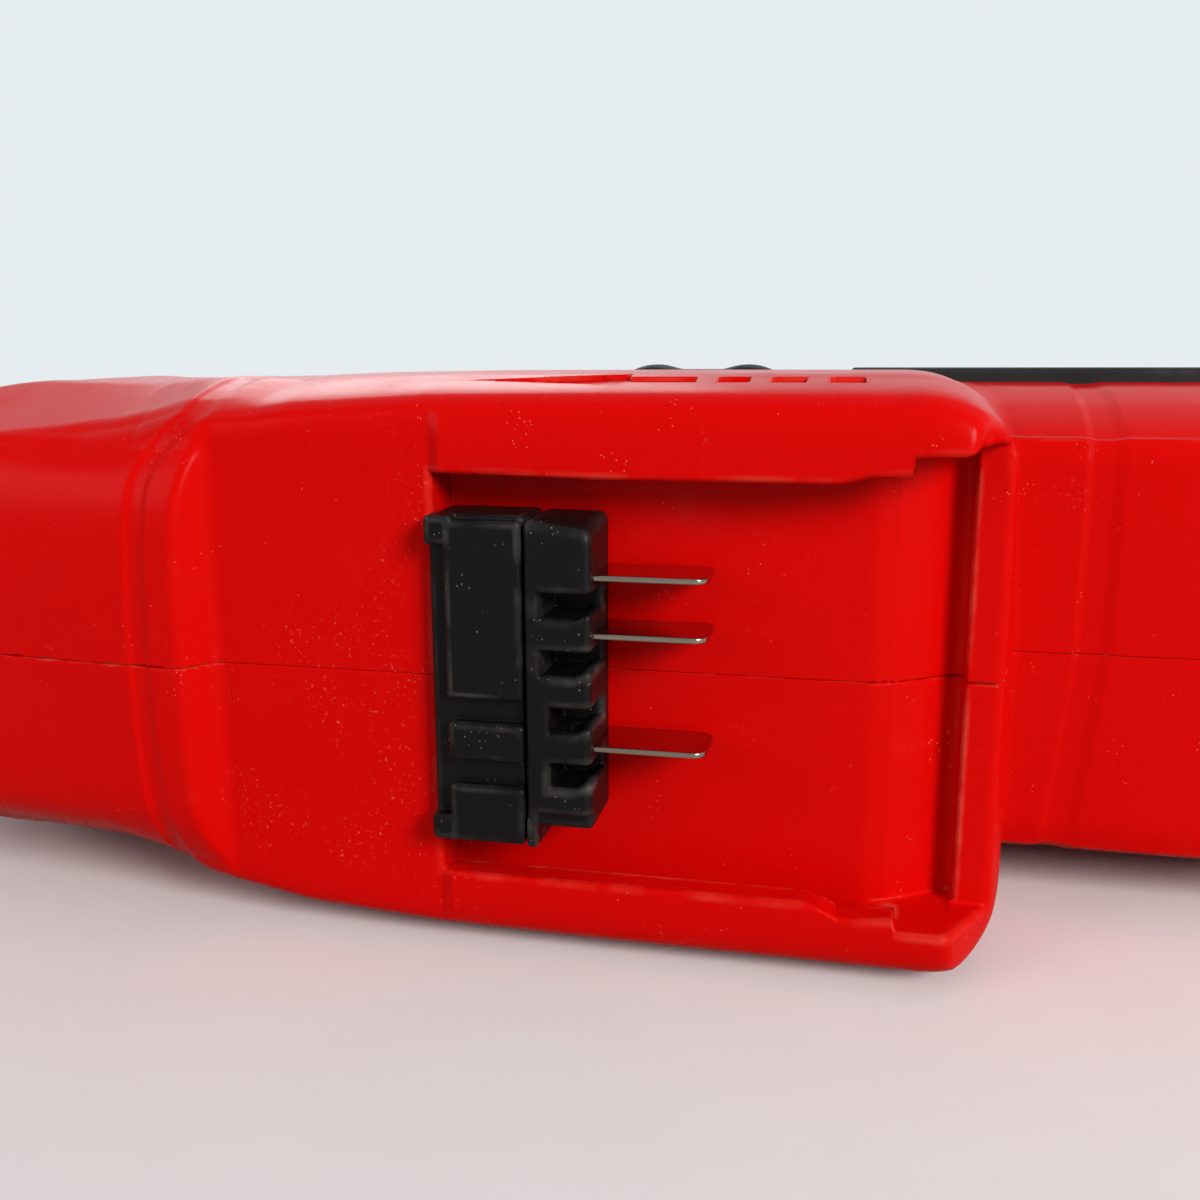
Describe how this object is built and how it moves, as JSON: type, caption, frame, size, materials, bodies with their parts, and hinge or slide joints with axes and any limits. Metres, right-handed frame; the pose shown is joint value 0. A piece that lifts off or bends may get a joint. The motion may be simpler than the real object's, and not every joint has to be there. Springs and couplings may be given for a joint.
{
  "type": "cordless hammer drill",
  "caption": "Cordless hammer drill lying on its side: D-shaped rear grip, motor column, gear train to a keyless chuck, side handle and an empty slide-on battery foot with blade terminals.",
  "frame": {"origin": "on the table under the middle of the tool's bounding box, the tool lying on its right side", "axes": "+X from the chuck towards the rear grip, +Y from the battery foot up to the barrel, +Z from the right side on the table to the left side"},
  "size_m": [0.356, 0.2522, 0.08],
  "materials": {
    "red_shell": "glossy moulded shell with light scuffs",
    "black_plastic": "fine moulded grain",
    "rubber": "soft grip rubber",
    "steel": "machined steel",
    "dark_steel": "blackened steel",
    "aluminium": "die-cast aluminium",
    "nickel": "tinned sheet metal",
    "copper": "enamelled copper wire and steel sheet",
    "board": "green solder mask",
    "lens": "clear lens"
  },
  "bodies": {
    "tool": {"housing_left": "red_shell", "housing_right": "red_shell", "housing_screw_1": "dark_steel", "housing_screw_2": "dark_steel", "housing_screw_3": "dark_steel", "housing_screw_4": "dark_steel", "housing_screw_5": "dark_steel", "housing_screw_6": "dark_steel", "terminal_carrier": "black_plastic", "terminal_holder": "black_plastic", "blade_positive": "nickel", "blade_signal": "nickel", "blade_negative": "nickel", "stator": "copper", "motor_ring": "rubber", "gearbox_plate": "aluminium", "motor_bearing_bottom": "steel", "motor_bearing_top": "steel", "layshaft_bearing_front": "steel", "layshaft_bearing_rear": "steel", "spindle_bearing_rear": "steel", "spindle_bearing_front": "steel", "gear_housing": "aluminium", "front_gear_plate": "aluminium", "rear_gear_plate": "aluminium", "ratchet_fixed": "steel", "switch_body": "black_plastic", "led_lens": "lens", "control_board": "board", "heat_sink": "aluminium", "wire_positive": "black_plastic", "wire_negative": "black_plastic", "grip_cover": "rubber", "column_rest_pad": "rubber", "side_pad_left": "rubber", "bumper_left": "rubber", "side_pad_right": "rubber", "bumper_right": "rubber"},
    "spindle": {"spindle": "dark_steel", "spindle_gear": "steel", "ratchet_turning": "steel", "chuck_body": "dark_steel"},
    "layshaft": {"layshaft": "dark_steel", "layshaft_pinion": "steel", "bevel_gear": "steel"},
    "rotor": {"rotor_core": "steel", "motor_shaft": "dark_steel", "motor_fan": "black_plastic", "bevel_pinion": "steel"},
    "chuck_sleeve": {"chuck_sleeve": "black_plastic"},
    "jaw_1": {"chuck_jaw_1": "steel"},
    "jaw_2": {"chuck_jaw_2": "steel"},
    "jaw_3": {"chuck_jaw_3": "steel"},
    "trigger": {"trigger": "black_plastic"},
    "direction_bar": {"direction_bar": "black_plastic"},
    "mode_knob": {"mode_knob": "black_plastic"},
    "side_handle": {"side_handle_clamp": "black_plastic", "side_handle_grip": "rubber", "side_handle_bolt": "steel"},
    "depth_rod": {"depth_rod": "steel"}
  },
  "joints": [
    {"name": "spindle_spin", "type": "hinge", "parent": "tool", "child": "spindle", "pos_m": [-0.092, 0.0816, 0.04], "axis": [1, 0, 0], "continuous": true},
    {"name": "layshaft_spin", "type": "hinge", "parent": "tool", "child": "layshaft", "pos_m": [-0.032, 0.0596, 0.04], "axis": [1, 0, 0], "continuous": true},
    {"name": "rotor_spin", "type": "hinge", "parent": "tool", "child": "rotor", "pos_m": [-0.03, -0.0534, 0.04], "axis": [0, 1, 0], "continuous": true},
    {"name": "chuck_sleeve_turn", "type": "hinge", "parent": "spindle", "child": "chuck_sleeve", "pos_m": [-0.154, 0.0816, 0.04], "axis": [1, 0, 0], "range_deg": [0, 1080]},
    {"name": "jaw_1_slide", "type": "slide", "parent": "spindle", "child": "jaw_1", "axis": [-0.9659, -0.259, 0], "range_m": [0, 0.012]},
    {"name": "jaw_2_slide", "type": "slide", "parent": "spindle", "child": "jaw_2", "axis": [-0.9659, 0.1295, -0.2243], "range_m": [0, 0.012]},
    {"name": "jaw_3_slide", "type": "slide", "parent": "spindle", "child": "jaw_3", "axis": [-0.9659, 0.1295, 0.2243], "range_m": [0, 0.012]},
    {"name": "trigger_press", "type": "slide", "parent": "tool", "child": "trigger", "axis": [1, 0, 0], "range_m": [0, 0.006], "stiffness_N_per_m": 800, "springref_m": -0.004},
    {"name": "direction_slide", "type": "slide", "parent": "tool", "child": "direction_bar", "axis": [0, 0, 1], "range_m": [-0.003, 0.003]},
    {"name": "mode_turn", "type": "hinge", "parent": "tool", "child": "mode_knob", "pos_m": [-0.072, 0.0816, 0.003], "axis": [0, 0, 1], "range_deg": [0, 60]},
    {"name": "side_handle_turn", "type": "hinge", "parent": "tool", "child": "side_handle", "pos_m": [-0.114, 0.0816, 0.04], "axis": [1, 0, 0], "range_deg": [-135, 135]},
    {"name": "depth_rod_slide", "type": "slide", "parent": "side_handle", "child": "depth_rod", "axis": [1, 0, 0], "range_m": [-0.03, 0]}
  ],
  "couplings": [
    {"joint": "layshaft_spin", "follows": "spindle_spin", "ratio": -3},
    {"joint": "rotor_spin", "follows": "spindle_spin", "ratio": -12},
    {"joint": "jaw_1_slide", "follows": "chuck_sleeve_turn", "m_per_rad": 0.00063662},
    {"joint": "jaw_2_slide", "follows": "chuck_sleeve_turn", "m_per_rad": 0.00063662},
    {"joint": "jaw_3_slide", "follows": "chuck_sleeve_turn", "m_per_rad": 0.00063662}
  ]
}
